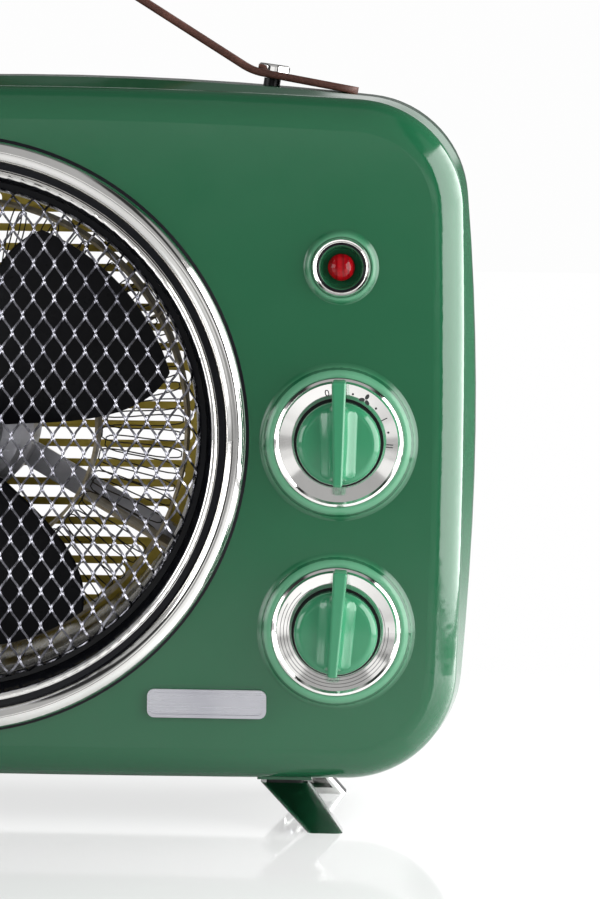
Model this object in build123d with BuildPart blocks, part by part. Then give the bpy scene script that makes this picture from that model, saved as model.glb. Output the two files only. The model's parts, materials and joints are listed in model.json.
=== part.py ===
"""Fan heater with a round grille, two knobs, a pilot lamp and a leather strap handle.

Millimetres, +Z up. The origin is on the floor under the middle of the heater. The front faces -Y, so a
distance "ahead" of the origin is measured towards -Y: ahead(d) is the upright plane d in front of it.
"""
from build123d import *
from math import atan2, cos, degrees, sin, radians
import os

os.makedirs("parts", exist_ok=True)

# Casing
FACE = 47.5
SEAM = -8.5
BACK = -63.0
WALL = 2.4
SEAM_HALF_WIDTH = 151.2
SEAM_TOP = 253.5
SEAM_BOTTOM = 17.0
FACE_HALF_WIDTH = 146.6
FACE_TOP = 249.6
FACE_BOTTOM = 17.4
CREASE = 35.5
CREASE_WIDENING = 0.3
BAND_END = 23.5
BAND_HALF_WIDTH = 150.3
BAND_TOP = 253.2
BAND_BOTTOM = 17.1
CORNER_X = 143.8
CORNER_TOP = 244.6
CORNER_BOTTOM = 18.4
CORNER_RADIUS = 37.0
FRONT_ROUNDING = 11.0
BACK_ROUNDING = 22.0
BACK_FLARE = 0.6

# Grille, collar and duct, all on one axis
RING_X = -26.3
RING_Z = 132.7
RING_RADIUS = 100.0
RING_SEAT_DEPTH = 0.8
RING_HOLE_RADIUS = 96.0
COLLAR_FRONT_RADIUS = 88.3
COLLAR_BACK_RADIUS = 84.0
COLLAR_BACK = 24.0
MESH_RADIUS = 83.0
MESH_THICKNESS = 0.9
MESH_FRONT = FACE - 0.6
STRAND_WIDTH = 1.3
CELL_WIDTH = 10.4
CELL_HEIGHT = 17.2
DUCT_RADIUS = 82.4
DUCT_WALL = 1.2
REAR_GRILLE_RADIUS = 89.0
REAR_GRILLE_THICKNESS = 1.2
REAR_OPENING_RADIUS = 84.0
SLOT_PITCH = 7.0
SLOT_HEIGHT = 4.3

# Fan, motor and element
FAN_RADIUS = 75.0
FAN_FRONT = 36.0
FAN_BACK = 10.0
HUB_RADIUS = 15.0
HUB_DOME = 6.0
BLADES = 3
SHAFT_RADIUS = 2.5
MOTOR_RADIUS = 25.0
MOTOR_FRONT = 6.0
MOTOR_BACK = -34.0
ELEMENT_FRONT = 0.0
ELEMENT_BACK = -24.0
ELEMENT_INNER_RADIUS = 47.0
ELEMENT_OUTER_RADIUS = 77.0
RIBBON = 0.8

# Controls, all in one column
CONTROL_X = 104.6
LAMP_Z = 191.0
LENS_RADIUS = 4.45
LENS_DOME = 2.8
SELECTOR_Z = 132.5
THERMOSTAT_Z = 68.9
DIAL_RADIUS = 21.5
SEAT_HEIGHT = 2.0
KNOB_RADIUS = 14.0
KNOB_TIP = 17.0
SPINDLE_RADIUS = 3.0
RUNNING_GAP = 0.05
THERMOSTAT_REST_ANGLE = 3.6
PLATE_X = 61.5
PLATE_Z = 43.7

# Strap handle
STRAP_AHEAD = -21.5
STRAP_WIDTH = 22.0
STRAP_THICKNESS = 2.6
STUD_X = 79.0
STRAP_STUD_Z = 254.7
STRAP_END_X = 108.6
STRAP_END_DROP = 4.0
STRAP_FLAT = 6.0
STRAP_RISE_TURN = 13.0
STRAP_RISE_RADIUS = 34.0
STRAP_SLOPE_TURN = 20.0
STRAP_SLOPE_RADIUS = 112.0
STUD_RADIUS = 5.5
STUD_HEIGHT = 2.4
POST_RADIUS = 2.1
POST_COLLAR_RADIUS = 2.9
POST_DEPTH = 9.0

# Feet
FOOT_TOP_Z = 15.4
FOOT_TOP_X = (79.5, 95.6)
FOOT_SOLE_X = (95.8, 107.8)
FOOT_TOP_AHEAD = (24.0, 36.0)
FOOT_SOLE_AHEAD = (34.0, 46.5)
FOOT_ROOF = 2.0
FOOT_FLOOR = 2.4
FOOT_SCREW_HEAD_RADIUS = 2.6
FEET_MIDDLE = -2.5
SOCKET_BOTTOM_Z = 16.6
SOCKET_TOP_Z = 27.0

# Screws that hold the two shells together
BOSS_X = 112.0
BOSS_TOP_Z = 212.0
BOSS_BOTTOM_Z = 50.0
BOSS_RADIUS = 4.6
SCREW_RADIUS = 1.6
GLAND_X = 84.0
GLAND_Z = 42.0
LAMP_HOLDER_RADIUS = 8.3
BUSH_RADIUS = 4.8

# Blocks on the floor of the rear shell: place across, length and width
TERMINAL_PLACE = (30.0, 34.0, 14.0)
TIP_PLACE = (-70.0, 22.0, 16.0)
FLOOR_BLOCK_Y = 30.0
FLOOR_BLOCK_Z = 20.8


def ahead(distance):
    """Upright plane facing the front, with x to the right and y up."""
    return Plane.XZ.offset(distance)


def ahead_at(x, z, distance):
    """The same plane, with its origin at a place on the front."""
    return Plane(origin=(x, -distance, z), x_dir=(1, 0, 0), z_dir=(0, -1, 0))


def section(x, z):
    """Level plane through a front-to-back axis: x is the radius and y the distance ahead."""
    return Plane(origin=(x, 0, z), x_dir=(1, 0, 0), z_dir=(0, 0, -1))


def spindle(x, z):
    """Front-to-back axis at a place on the front."""
    return Axis((x, 0, z), (0, 1, 0))


def finish(block, node):
    """Name a finished piece and write it."""
    block.part.label = node
    export_step(block.part, f"parts/{node}.step")


def turned(points, x, z):
    """A piece turned about a front-to-back axis, from the corners of its half section."""
    with BuildPart() as piece:
        with BuildSketch(section(x, z)):
            Polygon(*points, align=None)
        revolve(axis=spindle(x, z))
    return piece


def casing_outline(plane, half_width, top, bottom, inset):
    """Rounded outline of the casing, with all four sides bowed outward."""
    corner_x = CORNER_X - inset
    corner_top = CORNER_TOP - inset
    corner_bottom = CORNER_BOTTOM + inset
    middle = (corner_top + corner_bottom) / 2
    with BuildSketch(plane) as outline:
        with BuildLine():
            ThreePointArc((-corner_x, corner_top), (0, top - inset), (corner_x, corner_top))
            ThreePointArc((corner_x, corner_top), (half_width - inset, middle), (corner_x, corner_bottom))
            ThreePointArc((corner_x, corner_bottom), (0, bottom + inset), (-corner_x, corner_bottom))
            ThreePointArc((-corner_x, corner_bottom), (inset - half_width, middle), (-corner_x, corner_top))
        make_face()
        fillet(outline.vertices(), CORNER_RADIUS - inset)
    return outline.sketch


def front_form(inset):
    """Solid front half: rounded face, crease, flared band behind it, then nearly straight to the seam."""
    face = FACE - inset
    spread = inset - CREASE_WIDENING
    with BuildPart() as form:
        add(casing_outline(ahead(SEAM), SEAM_HALF_WIDTH, SEAM_TOP, SEAM_BOTTOM, inset))
        add(casing_outline(ahead(BAND_END), BAND_HALF_WIDTH, BAND_TOP, BAND_BOTTOM, inset))
        add(casing_outline(ahead(CREASE), FACE_HALF_WIDTH, FACE_TOP, FACE_BOTTOM, spread))
        add(casing_outline(ahead(face), FACE_HALF_WIDTH, FACE_TOP, FACE_BOTTOM, inset))
        loft(ruled=True)
        fillet(form.faces().sort_by(Axis.Y)[0].edges(), FRONT_ROUNDING - inset)
    return form.part


def back_form(inset):
    """Solid back half: it swells a little more behind the seam and rounds into the back."""
    back = BACK + inset
    seam = casing_outline(ahead(SEAM), SEAM_HALF_WIDTH, SEAM_TOP, SEAM_BOTTOM, inset)
    rear = casing_outline(ahead(back), SEAM_HALF_WIDTH, SEAM_TOP, SEAM_BOTTOM, inset - BACK_FLARE)
    with BuildPart() as form:
        add(seam)
        add(rear)
        loft(ruled=True)
        fillet(form.faces().sort_by(Axis.Y)[-1].edges(), BACK_ROUNDING - inset)
    return form.part


def stud_place(side, height):
    """Plane square to the strap at one of its studs, at a height above the strap's middle."""
    lean = atan2(STRAP_END_DROP, STRAP_END_X - STUD_X)
    up = (side * sin(lean), 0, cos(lean))
    level = (cos(lean), 0, -side * sin(lean))
    middle = Plane(origin=(side * STUD_X, -STRAP_AHEAD, STRAP_STUD_Z), x_dir=level, z_dir=up)
    return middle.offset(height)


def socket_form(side, front):
    """Tapered block under the casing that a foot is screwed to."""
    near, far = (FOOT_TOP_AHEAD[1] + 1.0, FOOT_TOP_AHEAD[0] - 1.0)
    if not front:
        near, far = (2 * FEET_MIDDLE - far, 2 * FEET_MIDDLE - near)
    left = side * (FOOT_TOP_X[0] - 1.0)
    right = side * (FOOT_TOP_X[1] + 1.5)
    flare = side * 3.5
    with BuildPart() as block:
        with BuildSketch(ahead(far)):
            Polygon(
                (left, SOCKET_BOTTOM_Z),
                (right, SOCKET_BOTTOM_Z),
                (right - flare, SOCKET_TOP_Z),
                (left, SOCKET_TOP_Z),
                align=None,
            )
        extrude(amount=near - far)
    return block.part


SIDES = {"left": -1, "right": 1}
CASING_SCREWS = [(x, z) for x in (-BOSS_X, BOSS_X) for z in (BOSS_BOTTOM_Z, BOSS_TOP_Z)]
DUCT_OUTER = DUCT_RADIUS + DUCT_WALL
INNER_FACE = FACE - WALL
INNER_BACK = BACK + WALL
DUCT_BACK = INNER_BACK + REAR_GRILLE_THICKNESS
FOOT_SCREW_X = sum(FOOT_TOP_X) / 2
FOOT_SCREW_AHEAD = sum(FOOT_TOP_AHEAD) / 2

# Front shell: bowed tray with the grille hole, raised seats, screw posts and foot sockets
with BuildPart() as front_shell:
    add(front_form(0))
    for side in SIDES.values():
        add(socket_form(side, front=True))
    for seat_z in (SELECTOR_Z, THERMOSTAT_Z):
        with BuildSketch(section(CONTROL_X, seat_z)):
            with BuildLine():
                Line((DIAL_RADIUS + 0.2, FACE - 1), (DIAL_RADIUS + 0.2, FACE + SEAT_HEIGHT - 0.6))
                ThreePointArc(
                    (DIAL_RADIUS + 0.2, FACE + SEAT_HEIGHT - 0.6),
                    (DIAL_RADIUS + 1.6, FACE + SEAT_HEIGHT),
                    (DIAL_RADIUS + 4.0, FACE),
                )
                Polyline(
                    (DIAL_RADIUS + 4.0, FACE), (DIAL_RADIUS + 4.0, FACE - 1), (DIAL_RADIUS + 0.2, FACE - 1)
                )
            make_face()
        revolve(axis=spindle(CONTROL_X, seat_z))
    with BuildSketch(section(CONTROL_X, LAMP_Z)):
        Polygon((10.2, FACE - 1), (10.2, FACE + 0.9), (11.0, FACE + 0.9), (12.2, FACE - 1), align=None)
    revolve(axis=spindle(CONTROL_X, LAMP_Z))
    add(front_form(WALL), mode=Mode.SUBTRACT)
    with BuildSketch(ahead(SEAM)):
        with Locations(*CASING_SCREWS):
            Circle(BOSS_RADIUS)
    extrude(until=Until.NEXT)
    with BuildSketch(ahead(FACE)):
        with Locations((RING_X, RING_Z)):
            Circle(RING_RADIUS + RING_SEAT_DEPTH)
    extrude(amount=-RING_SEAT_DEPTH, mode=Mode.SUBTRACT)
    with BuildSketch(ahead(FACE)):
        with Locations((RING_X, RING_Z)):
            Circle(RING_HOLE_RADIUS)
        with Locations((CONTROL_X, LAMP_Z)):
            Circle(LAMP_HOLDER_RADIUS)
        with Locations((CONTROL_X, SELECTOR_Z), (CONTROL_X, THERMOSTAT_Z)):
            Circle(BUSH_RADIUS)
    extrude(amount=-2 * WALL, mode=Mode.SUBTRACT)
    with BuildSketch(ahead(SEAM)):
        with Locations(*CASING_SCREWS):
            Circle(SCREW_RADIUS)
    extrude(amount=20, mode=Mode.SUBTRACT)
    with BuildSketch(Plane.XY.offset(SOCKET_BOTTOM_Z)):
        with Locations((FOOT_SCREW_X, -FOOT_SCREW_AHEAD), (-FOOT_SCREW_X, -FOOT_SCREW_AHEAD)):
            Circle(SCREW_RADIUS)
    extrude(amount=8, mode=Mode.SUBTRACT)
finish(front_shell, "front_shell")

# Rear shell: tray with the intake hole, screw posts, foot sockets, stud holes and the cord hole
with BuildPart() as rear_shell:
    add(back_form(0))
    for side in SIDES.values():
        add(socket_form(side, front=False))
    add(back_form(WALL), mode=Mode.SUBTRACT)
    with BuildSketch(ahead(SEAM)):
        with Locations(*CASING_SCREWS):
            Circle(BOSS_RADIUS)
    extrude(until=Until.NEXT, dir=(0, 1, 0))
    with BuildSketch(ahead(BACK)):
        with Locations((RING_X, RING_Z)):
            Circle(REAR_OPENING_RADIUS)
        with Locations((GLAND_X, GLAND_Z)):
            Circle(6.0)
        with Locations(*CASING_SCREWS):
            Circle(3.4)
    extrude(amount=2 * WALL, mode=Mode.SUBTRACT)
    with BuildSketch(ahead(BACK)):
        with Locations(*CASING_SCREWS):
            Circle(SCREW_RADIUS + 0.2)
    extrude(amount=SEAM - BACK, mode=Mode.SUBTRACT)
    for side in SIDES.values():
        with BuildSketch(stud_place(side, 0)):
            Circle(POST_RADIUS)
        extrude(amount=-POST_DEPTH, mode=Mode.SUBTRACT)
    for block_x, block_length, block_width in (TERMINAL_PLACE, TIP_PLACE):
        with BuildSketch(Plane.XY.offset(SEAM_BOTTOM + WALL / 2)):
            with Locations((block_x, FLOOR_BLOCK_Y)):
                Rectangle(block_length + 4, block_width + 4)
        extrude(amount=FLOOR_BLOCK_Z - SEAM_BOTTOM - WALL / 2)
    rear_foot_ahead = 2 * FEET_MIDDLE - FOOT_SCREW_AHEAD
    with BuildSketch(Plane.XY.offset(SOCKET_BOTTOM_Z)):
        with Locations((FOOT_SCREW_X, -rear_foot_ahead), (-FOOT_SCREW_X, -rear_foot_ahead)):
            Circle(SCREW_RADIUS)
    extrude(amount=8, mode=Mode.SUBTRACT)
finish(rear_shell, "rear_shell")

# Grille ring: a plated hoop with a rounded crown, a groove and a fine inner rim
with BuildPart() as grille_ring:
    ring_base = FACE - RING_SEAT_DEPTH
    with BuildSketch(section(RING_X, RING_Z)):
        with BuildLine():
            Line((88.3, ring_base), (RING_RADIUS, ring_base))
            Line((RING_RADIUS, ring_base), (RING_RADIUS, FACE + 1.0))
            ThreePointArc((RING_RADIUS, FACE + 1.0), (96.7, FACE + 4.6), (93.0, FACE + 1.6))
            Line((93.0, FACE + 1.6), (92.6, FACE + 0.6))
            Line((92.6, FACE + 0.6), (90.6, FACE + 0.6))
            Line((90.6, FACE + 0.6), (90.3, FACE + 2.2))
            ThreePointArc((90.3, FACE + 2.2), (89.3, FACE + 2.9), (88.3, FACE + 2.0))
            Line((88.3, FACE + 2.0), (88.3, ring_base))
        make_face()
    revolve(axis=spindle(RING_X, RING_Z))
finish(grille_ring, "grille_ring")

# Inner collar: dark funnel from the ring back to the duct
inner_collar = turned(
    [
        (COLLAR_FRONT_RADIUS, FACE - RING_SEAT_DEPTH),
        (RING_HOLE_RADIUS - 0.1, FACE - RING_SEAT_DEPTH),
        (RING_HOLE_RADIUS - 0.1, FACE - WALL),
        (COLLAR_FRONT_RADIUS + 2.0, FACE - WALL),
        (COLLAR_BACK_RADIUS + 1.8, COLLAR_BACK),
        (COLLAR_BACK_RADIUS, COLLAR_BACK),
    ],
    RING_X,
    RING_Z,
)
finish(inner_collar, "inner_collar")

# Mesh grille: expanded metal in a rolled edge that sits in the collar
with BuildPart() as mesh_grille:
    edge_front = MESH_FRONT
    with BuildSketch(section(RING_X, RING_Z)):
        Polygon(
            (MESH_RADIUS - 1.2, edge_front - MESH_THICKNESS),
            (MESH_RADIUS - 1.2, edge_front),
            (MESH_RADIUS + 1.0, edge_front),
            (MESH_RADIUS + 2.6, edge_front - 2.0),
            (MESH_RADIUS + 2.6, edge_front - 10.0),
            (MESH_RADIUS + 1.7, edge_front - 10.0),
            (MESH_RADIUS + 1.7, edge_front - 2.6),
            (MESH_RADIUS + 0.4, edge_front - MESH_THICKNESS),
            align=None,
        )
    revolve(axis=spindle(RING_X, RING_Z))
    half_cell = CELL_WIDTH / 2 - STRAND_WIDTH / 2
    half_height = CELL_HEIGHT / 2 - STRAND_WIDTH
    columns = int(MESH_RADIUS / CELL_WIDTH)
    rows = int(MESH_RADIUS / CELL_HEIGHT) + 1
    with BuildSketch(ahead(MESH_FRONT)):
        with Locations((RING_X, RING_Z)):
            Circle(MESH_RADIUS - 1.2)
        cell_places = []
        for column in range(-2 * columns - 1, 2 * columns + 2):
            for row in range(-rows, rows + 1):
                cell_x = column * CELL_WIDTH / 2
                cell_z = row * CELL_HEIGHT + (column % 2) * CELL_HEIGHT / 2
                reach = (cell_x**2 + cell_z**2) ** 0.5
                if reach < MESH_RADIUS + CELL_WIDTH / 2:
                    cell_places.append((RING_X + cell_x, RING_Z + cell_z))
        with Locations(*cell_places):
            Polygon(
                (half_cell, 0), (0, half_height), (-half_cell, 0), (0, -half_height),
                align=None, mode=Mode.SUBTRACT,
            )
    extrude(amount=-MESH_THICKNESS)
finish(mesh_grille, "mesh_grille")

# Air duct: thin tube with a front flange that the collar rests on
air_duct = turned(
    [
        (DUCT_RADIUS, DUCT_BACK),
        (DUCT_RADIUS, COLLAR_BACK),
        (DUCT_OUTER + 5.0, COLLAR_BACK),
        (DUCT_OUTER + 5.0, COLLAR_BACK - DUCT_WALL),
        (DUCT_OUTER, COLLAR_BACK - DUCT_WALL),
        (DUCT_OUTER, DUCT_BACK),
    ],
    RING_X,
    RING_Z,
)
finish(air_duct, "air_duct")

# Rear grille: slotted plate behind the intake hole
with BuildPart() as rear_grille:
    with BuildSketch(ahead(INNER_BACK)):
        with Locations((RING_X, RING_Z)):
            Circle(REAR_GRILLE_RADIUS)
        slot_rows = int((DUCT_RADIUS - SLOT_HEIGHT) / SLOT_PITCH)
        for row in range(-slot_rows, slot_rows + 1):
            level = row * SLOT_PITCH
            half_chord = ((DUCT_RADIUS - 5.0) ** 2 - level**2) ** 0.5
            bridge = 5.0
            slots = 1 if half_chord < 35 else 2
            length = (2 * half_chord - (slots - 1) * bridge) / slots
            shift = 0 if row % 2 == 0 else 9.0 * (slots - 1)
            for index in range(slots):
                if slots == 1:
                    slot_x, slot_length = 0, length
                elif index == 0:
                    slot_length = length - shift
                    slot_x = -half_chord + slot_length / 2
                else:
                    slot_length = length + shift
                    slot_x = half_chord - slot_length / 2
                with Locations((RING_X + slot_x, RING_Z + level)):
                    SlotOverall(slot_length, SLOT_HEIGHT, mode=Mode.SUBTRACT)
    extrude(amount=REAR_GRILLE_THICKNESS)
finish(rear_grille, "rear_grille")


def fan_blade(angle):
    """One broad blade, from its radius, chord and pitch at four stations; its tip is round."""
    stations = [
        (HUB_RADIUS - 2.0, 22.0, 38.0),
        (34.0, 56.0, 27.0),
        (56.0, 72.0, 20.0),
        (FAN_RADIUS, 58.0, 17.0),
    ]
    out = Vector(cos(radians(angle)), 0, sin(radians(angle)))
    along = Vector(-sin(radians(angle)), 0, cos(radians(angle)))
    middle = (FAN_FRONT + FAN_BACK) / 2
    with BuildPart() as blade:
        for radius, chord, pitch in stations:
            place = Vector(RING_X, -middle, RING_Z) + out * radius
            chord_way = along * cos(radians(pitch)) + Vector(0, -1, 0) * sin(radians(pitch))
            with BuildSketch(Plane(origin=place, x_dir=chord_way, z_dir=out)):
                Rectangle(chord, 1.7)
        loft()
    return blade.part


# Impeller: hub with a domed nose and broad twisted blades
with BuildPart() as impeller:
    with BuildSketch(section(RING_X, RING_Z)):
        with BuildLine():
            Line((0, FAN_BACK), (HUB_RADIUS, FAN_BACK))
            Line((HUB_RADIUS, FAN_BACK), (HUB_RADIUS, FAN_FRONT - HUB_DOME))
            dome = HUB_RADIUS**2 / (2 * HUB_DOME) + HUB_DOME / 2
            RadiusArc((HUB_RADIUS, FAN_FRONT - HUB_DOME), (0, FAN_FRONT), dome)
            Line((0, FAN_FRONT), (0, FAN_BACK))
        make_face()
    revolve(axis=spindle(RING_X, RING_Z))
    for blade_index in range(BLADES):
        add(fan_blade(41 + blade_index * 360 / BLADES))
    with BuildSketch(ahead(0)):
        with Locations((RING_X, RING_Z)):
            Circle(FAN_RADIUS)
    extrude(amount=FAN_FRONT + 6, both=True, mode=Mode.INTERSECT)
    with BuildSketch(ahead(FAN_BACK)):
        with Locations((RING_X, RING_Z)):
            Circle(SHAFT_RADIUS + 0.02)
    extrude(amount=FAN_FRONT - FAN_BACK, mode=Mode.SUBTRACT)
finish(impeller, "impeller")

# Motor shaft, from inside the motor to the nose of the hub
with BuildPart() as motor_shaft:
    with BuildSketch(ahead(MOTOR_BACK + 6)):
        with Locations((RING_X, RING_Z)):
            Circle(SHAFT_RADIUS)
    extrude(amount=FAN_FRONT + 3 - MOTOR_BACK - 6)
    chamfer(motor_shaft.edges().group_by(Axis.Y)[0], 0.6)
finish(motor_shaft, "motor_shaft")

# Speed nut that keeps the impeller on its shaft
with BuildPart() as impeller_clip:
    with BuildSketch(ahead(FAN_FRONT)):
        with Locations((RING_X, RING_Z)):
            RegularPolygon(5.5, 6)
            Circle(SHAFT_RADIUS + 0.02, mode=Mode.SUBTRACT)
    extrude(amount=1.4)
finish(impeller_clip, "impeller_clip")

# Motor: drum with front and rear bearing bosses
with BuildPart() as motor_body:
    with BuildSketch(section(RING_X, RING_Z)):
        Polygon(
            (0, MOTOR_BACK),
            (MOTOR_RADIUS - 2, MOTOR_BACK),
            (MOTOR_RADIUS, MOTOR_BACK + 2),
            (MOTOR_RADIUS, MOTOR_FRONT - 4),
            (MOTOR_RADIUS - 4, MOTOR_FRONT - 1),
            (8, MOTOR_FRONT),
            (7, MOTOR_FRONT + 3),
            (0, MOTOR_FRONT + 3),
            align=None,
        )
    revolve(axis=spindle(RING_X, RING_Z))
    with BuildSketch(ahead(MOTOR_BACK + 5)):
        with Locations((RING_X, RING_Z)):
            Circle(SHAFT_RADIUS + RUNNING_GAP)
    extrude(amount=MOTOR_FRONT - MOTOR_BACK, mode=Mode.SUBTRACT)
finish(motor_body, "motor_body")

# Motor bracket: three arms from the motor's back to tabs on the duct wall
with BuildPart() as motor_bracket:
    arm_front = MOTOR_BACK
    with BuildSketch(ahead(arm_front - 2.0)):
        with Locations((RING_X, RING_Z)):
            Circle(MOTOR_RADIUS)
            for arm_angle in (90, 210, 330):
                with PolarLocations(0, 1, start_angle=arm_angle):
                    with Locations((DUCT_RADIUS / 2, 0)):
                        Rectangle(DUCT_RADIUS + 2, 9.0)
    extrude(amount=2.0)
    for arm_angle in (90, 210, 330):
        with BuildSketch(ahead(arm_front)):
            with Locations((RING_X, RING_Z)):
                with PolarLocations(DUCT_RADIUS - 0.5, 1, start_angle=arm_angle):
                    Rectangle(3.0, 9.0)
        extrude(amount=7.0)
    with BuildSketch(ahead(arm_front - 2.0)):
        with Locations((RING_X, RING_Z)):
            Circle(DUCT_RADIUS)
    extrude(amount=12.0, mode=Mode.INTERSECT)
    with BuildSketch(ahead(arm_front - 2.0)):
        with Locations((RING_X, RING_Z)):
            with PolarLocations(14, 3, start_angle=30):
                Circle(1.7)
    extrude(amount=2.0, mode=Mode.SUBTRACT)
finish(motor_bracket, "motor_bracket")

# Screws through the bracket into the back of the motor
with BuildPart() as bracket_screws:
    with BuildSketch(ahead(arm_front - 2.0)):
        with Locations((RING_X, RING_Z)):
            with PolarLocations(14, 3, start_angle=30):
                Circle(3.0)
    extrude(amount=-1.6)
    with BuildSketch(ahead(arm_front - 2.0)):
        with Locations((RING_X, RING_Z)):
            with PolarLocations(14, 3, start_angle=30):
                Circle(1.6)
    extrude(amount=2.0)
finish(bracket_screws, "bracket_screws")

# Mica frame: two rings and six boards that stand across the duct and carry the element
with BuildPart() as mica_frame:
    with BuildSketch(ahead(ELEMENT_BACK)):
        with Locations((RING_X, RING_Z)):
            Circle(ELEMENT_INNER_RADIUS)
            Circle(ELEMENT_INNER_RADIUS - 1.0, mode=Mode.SUBTRACT)
    extrude(amount=ELEMENT_FRONT - ELEMENT_BACK)
    with BuildSketch(ahead(ELEMENT_BACK)):
        with Locations((RING_X, RING_Z)):
            Circle(ELEMENT_OUTER_RADIUS + 1.0)
            Circle(ELEMENT_OUTER_RADIUS, mode=Mode.SUBTRACT)
    extrude(amount=ELEMENT_FRONT - ELEMENT_BACK)
    board_length = DUCT_RADIUS + 1 - ELEMENT_INNER_RADIUS
    with BuildSketch(ahead(ELEMENT_BACK)):
        with Locations((RING_X, RING_Z)):
            with PolarLocations(ELEMENT_INNER_RADIUS + board_length / 2 - 0.5, 6, start_angle=30):
                Rectangle(board_length, 1.0)
    extrude(amount=ELEMENT_FRONT - ELEMENT_BACK)
    with BuildSketch(ahead(ELEMENT_BACK)):
        with Locations((RING_X, RING_Z)):
            Circle(DUCT_RADIUS)
    extrude(amount=ELEMENT_FRONT - ELEMENT_BACK, mode=Mode.INTERSECT)
finish(mica_frame, "mica_frame")


def zigzag_ribbon(node, back_plane, turns, lead):
    """Resistance ribbon that runs out and back between the two mica rings."""
    step = 360 / turns
    inner = ELEMENT_INNER_RADIUS - 0.5
    outer = ELEMENT_OUTER_RADIUS + 0.5
    corners = []
    for turn in range(turns):
        for radius, angle in ((inner, turn * step), (outer, (turn + 0.5) * step)):
            way = radians(angle + lead)
            corners.append((RING_X + radius * cos(way), RING_Z + radius * sin(way)))
    with BuildPart() as ribbon:
        with BuildSketch(ahead(back_plane)):
            with BuildLine():
                path = Polyline(*corners)
            trace(path, line_width=RIBBON)
        extrude(amount=RIBBON)
    finish(ribbon, node)


# The two heat settings have a ribbon each, on the front and back edges of the mica frame
zigzag_ribbon("heater_ribbon_front", ELEMENT_FRONT, 40, 0)
zigzag_ribbon("heater_ribbon_rear", ELEMENT_BACK - RIBBON, 40, 3)

# Thermal cut-out: small capped disc on a saddle against the duct
with BuildPart() as thermal_cutout:
    with BuildSketch(Plane.YZ.offset(RING_X + DUCT_RADIUS - 3)):
        with Locations((16, RING_Z)):
            Rectangle(18, 18)
    extrude(amount=8)
    with BuildSketch(Plane.YZ.offset(RING_X + DUCT_RADIUS + 5)):
        with Locations((16, RING_Z)):
            Circle(7.5)
    extrude(amount=5)
    with BuildSketch(ahead(-40)):
        with Locations((RING_X, RING_Z)):
            Circle(DUCT_OUTER)
    extrude(amount=60, mode=Mode.SUBTRACT)
finish(thermal_cutout, "thermal_cutout")


def control_body(node, z, radius, depth):
    """Switch or thermostat behind the front: body, threaded bush and a blind bore for its spindle."""
    with BuildPart() as control:
        with BuildSketch(ahead(INNER_FACE - depth)):
            with Locations((CONTROL_X, z)):
                if node == "selector_switch":
                    RectangleRounded(2 * radius, 2 * radius, 3)
                else:
                    Circle(radius)
        extrude(amount=depth)
        with BuildSketch(ahead(INNER_FACE)):
            with Locations((CONTROL_X, z)):
                Circle(BUSH_RADIUS)
        extrude(amount=WALL + 1.2)
        with BuildSketch(ahead(INNER_FACE - depth + 4)):
            with Locations((CONTROL_X, z)):
                Circle(SPINDLE_RADIUS + RUNNING_GAP)
        extrude(amount=depth, mode=Mode.SUBTRACT)
        with BuildSketch(ahead(INNER_FACE - depth)):
            with Locations((CONTROL_X - radius * 0.6, z), (CONTROL_X, z), (CONTROL_X + radius * 0.6, z)):
                Rectangle(0.8, 5)
        extrude(amount=-7)
    finish(control, node)


control_body("selector_switch", SELECTOR_Z, 15.0, 20.0)
control_body("thermostat_body", THERMOSTAT_Z, 12.5, 18.0)


def control_dial(node, z):
    """Plated dial plate with a raised lip, pressed into its seat."""
    dial = turned(
        [
            (5.0, FACE),
            (DIAL_RADIUS, FACE),
            (DIAL_RADIUS, FACE + 3.0),
            (DIAL_RADIUS - 0.8, FACE + 3.4),
            (DIAL_RADIUS - 1.6, FACE + 3.0),
            (KNOB_RADIUS + 0.5, FACE + 2.0),
            (5.0, FACE + 2.0),
        ],
        CONTROL_X,
        z,
    )
    finish(dial, node)


control_dial("selector_dial", SELECTOR_Z)
control_dial("thermostat_dial", THERMOSTAT_Z)


def control_knob(node, z, turn):
    """Round knob with a tall grip ridge that tapers away from its pointing end."""
    with BuildPart() as knob:
        with BuildSketch(section(CONTROL_X, z)):
            with BuildLine():
                Line((0, FACE + 2.4), (KNOB_RADIUS, FACE + 2.4))
                Line((KNOB_RADIUS, FACE + 2.4), (KNOB_RADIUS, FACE + 7.0))
                ThreePointArc((KNOB_RADIUS, FACE + 7.0), (12.8, FACE + 9.0), (11.0, FACE + 9.6))
                Line((11.0, FACE + 9.6), (0, FACE + 10.2))
                Line((0, FACE + 10.2), (0, FACE + 2.4))
            make_face()
        revolve(axis=spindle(CONTROL_X, z))
        with BuildSketch(ahead_at(CONTROL_X, z, FACE + 4.6)) as ridge:
            Polygon((-2.4, 21.3), (2.4, 21.3), (1.6, -13.8), (-1.6, -13.8), align=None)
            fillet(ridge.vertices(), 0.9)
        extrude(amount=KNOB_TIP - 4.6)
        fillet(knob.edges().group_by(Axis.Y)[0], 0.9)
        with BuildSketch(ahead(FACE)):
            with Locations((CONTROL_X, z)):
                Circle(SPINDLE_RADIUS + 0.02)
        extrude(amount=7.5, mode=Mode.SUBTRACT)
    knob.part = knob.part.rotate(spindle(CONTROL_X, z), turn)
    finish(knob, node)


control_knob("selector_knob", SELECTOR_Z, 0)
control_knob("thermostat_knob", THERMOSTAT_Z, THERMOSTAT_REST_ANGLE)


def control_spindle(node, z, depth):
    """Spindle between a control and its knob."""
    with BuildPart() as rod:
        with BuildSketch(ahead(INNER_FACE - depth + 5)):
            with Locations((CONTROL_X, z)):
                Circle(SPINDLE_RADIUS)
        extrude(amount=WALL + depth - 5 + 7.5)
    finish(rod, node)


control_spindle("selector_spindle", SELECTOR_Z, 20.0)
control_spindle("thermostat_spindle", THERMOSTAT_Z, 18.0)

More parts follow.
